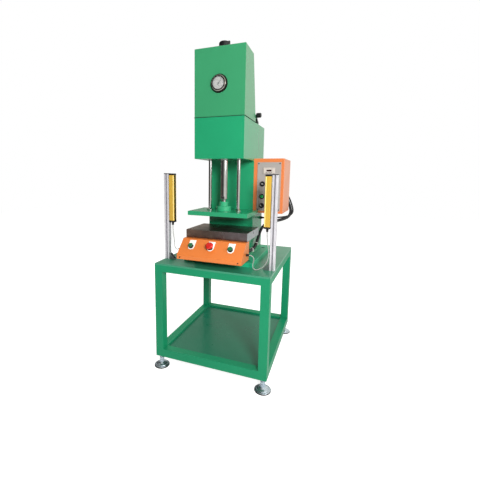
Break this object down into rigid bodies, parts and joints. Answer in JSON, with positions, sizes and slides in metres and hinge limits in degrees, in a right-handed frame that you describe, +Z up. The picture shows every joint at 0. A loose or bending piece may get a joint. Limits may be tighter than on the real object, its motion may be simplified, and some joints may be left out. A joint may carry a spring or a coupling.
{
  "type": "c-frame hydraulic punching machine on a stand",
  "caption": "C-frame hydraulic punching press with guided ram platen, bolster, two-hand console, light curtain, control box and levelling table.",
  "frame": {"origin": "on the floor under the table's middle, with the levelling feet screwed in", "axes": "+Z up, +X to the right of an operator who faces the machine, +Y to the back"},
  "size_m": [0.74, 0.808, 1.936],
  "materials": {
    "green_paint": "gloss",
    "orange_paint": "gloss",
    "yellow_paint": "satin",
    "grey_paint": "matte",
    "ground_steel": "ground",
    "machined_steel": "machined",
    "black_steel": "black oxide",
    "zinc_steel": "zinc plated",
    "chrome_steel": "polished",
    "bronze": "machined",
    "cast_aluminium": "cast",
    "anodised_aluminium": "anodised",
    "black_plastic": "matte",
    "beige_plastic": "matte",
    "white_plastic": "matte",
    "red_plastic": "gloss",
    "green_plastic": "gloss",
    "lens_plastic": "gloss",
    "gauge_glass": "clear",
    "cable_rubber": "matte"
  },
  "bodies": {
    "stand": {"table_legs": "green_paint", "top_rails": "green_paint", "bottom_rails": "green_paint", "table_top": "green_paint", "shelf_plate": "green_paint", "foot_nuts": "zinc_steel", "base_plate": "green_paint", "base_bolts": "black_steel", "frame_side_plates": "green_paint", "frame_front_plates": "green_paint", "frame_cross_plates": "green_paint", "frame_back_plate": "green_paint", "rear_cover": "green_paint", "bolster": "ground_steel", "upper_cover": "green_paint", "cylinder_barrel": "machined_steel", "rod_gland": "machined_steel", "guide_bushes": "bronze", "pump_motor": "cast_aluminium", "oil_tank": "machined_steel", "valve_block": "black_steel", "gauge_case": "black_steel", "gauge_dial": "white_plastic", "gauge_glass": "gauge_glass", "console_housing": "orange_paint", "legend_plates": "white_plastic", "control_box": "orange_paint", "control_panel": "grey_paint", "counter": "beige_plastic", "switch_bezels": "black_plastic", "posts": "anodised_aluminium", "end_caps": "black_plastic", "corner_brackets": "cast_aluminium", "curtain_housings": "yellow_paint", "curtain_lenses": "lens_plastic", "cover_screws": "zinc_steel", "cable_glands": "black_plastic", "conduit": "cable_rubber", "left_cable": "cable_rubber", "right_cable": "cable_rubber"},
    "foot_front_left": {"foot_front_left": "zinc_steel"},
    "foot_front_right": {"foot_front_right": "zinc_steel"},
    "foot_back_left": {"foot_back_left": "zinc_steel"},
    "foot_back_right": {"foot_back_right": "zinc_steel"},
    "ram": {"platen": "green_paint", "ram_hub": "machined_steel", "piston_rod": "chrome_steel", "piston": "machined_steel", "guide_rods": "chrome_steel"},
    "valve_lever": {"valve_lever": "machined_steel", "lever_grip": "black_plastic"},
    "gauge_needle": {"gauge_needle": "black_plastic"},
    "filler_cap": {"filler_cap": "black_plastic"},
    "start_button_left": {"start_button_left": "green_plastic"},
    "start_button_right": {"start_button_right": "green_plastic"},
    "stop_plunger": {"stop_plunger": "black_plastic"},
    "stop_head": {"stop_head": "red_plastic"},
    "key_switch": {"key_switch": "black_plastic"},
    "lamp_button": {"lamp_button": "green_plastic"},
    "selector_knob": {"selector_knob": "black_plastic"}
  },
  "joints": [
    {"name": "ram_slide", "type": "slide", "parent": "stand", "child": "ram", "axis": [0, 0, 1], "range_m": [-0.08, 0.2]},
    {"name": "foot_screw_front_left", "type": "slide", "parent": "stand", "child": "foot_front_left", "axis": [0, 0, -1], "range_m": [0, 0.02]},
    {"name": "foot_screw_front_right", "type": "slide", "parent": "stand", "child": "foot_front_right", "axis": [0, 0, -1], "range_m": [0, 0.02]},
    {"name": "foot_screw_back_left", "type": "slide", "parent": "stand", "child": "foot_back_left", "axis": [0, 0, -1], "range_m": [0, 0.02]},
    {"name": "foot_screw_back_right", "type": "slide", "parent": "stand", "child": "foot_back_right", "axis": [0, 0, -1], "range_m": [0, 0.02]},
    {"name": "valve_lever_hinge", "type": "hinge", "parent": "stand", "child": "valve_lever", "pos_m": [0.13, 0.092, 1.531], "axis": [1, 0, 0], "range_deg": [-40, 20]},
    {"name": "needle_spindle", "type": "hinge", "parent": "stand", "child": "gauge_needle", "pos_m": [0, -0.256, 1.692], "axis": [0, -1, 0], "range_deg": [-97, 173]},
    {"name": "filler_cap_lift", "type": "slide", "parent": "stand", "child": "filler_cap", "axis": [0, 0, 1], "range_m": [0, 0.05]},
    {"name": "start_button_left_press", "type": "slide", "parent": "stand", "child": "start_button_left", "axis": [0, 0.6901, -0.7237], "range_m": [0, 0.004], "stiffness_N_per_m": 400},
    {"name": "start_button_right_press", "type": "slide", "parent": "stand", "child": "start_button_right", "axis": [0, 0.6901, -0.7237], "range_m": [0, 0.004], "stiffness_N_per_m": 400},
    {"name": "stop_press", "type": "slide", "parent": "stand", "child": "stop_plunger", "axis": [0, 0.6901, -0.7237], "range_m": [0, 0.004]},
    {"name": "stop_twist", "type": "hinge", "parent": "stop_plunger", "child": "stop_head", "pos_m": [-0.004, -0.34868, 0.78316], "axis": [0, -0.6901, 0.7237], "range_deg": [-40, 0], "stiffness_Nm_per_rad": 0.05},
    {"name": "key_turn", "type": "hinge", "parent": "stand", "child": "key_switch", "pos_m": [0.2065, -0.022, 1.1435], "axis": [0, -1, 0], "range_deg": [-90, 0]},
    {"name": "lamp_button_press", "type": "slide", "parent": "stand", "child": "lamp_button", "axis": [0, 1, 0], "range_m": [0, 0.004], "stiffness_N_per_m": 400},
    {"name": "selector_turn", "type": "hinge", "parent": "stand", "child": "selector_knob", "pos_m": [0.2065, -0.022, 1.0085], "axis": [0, -1, 0], "range_deg": [-90, 0]}
  ]
}
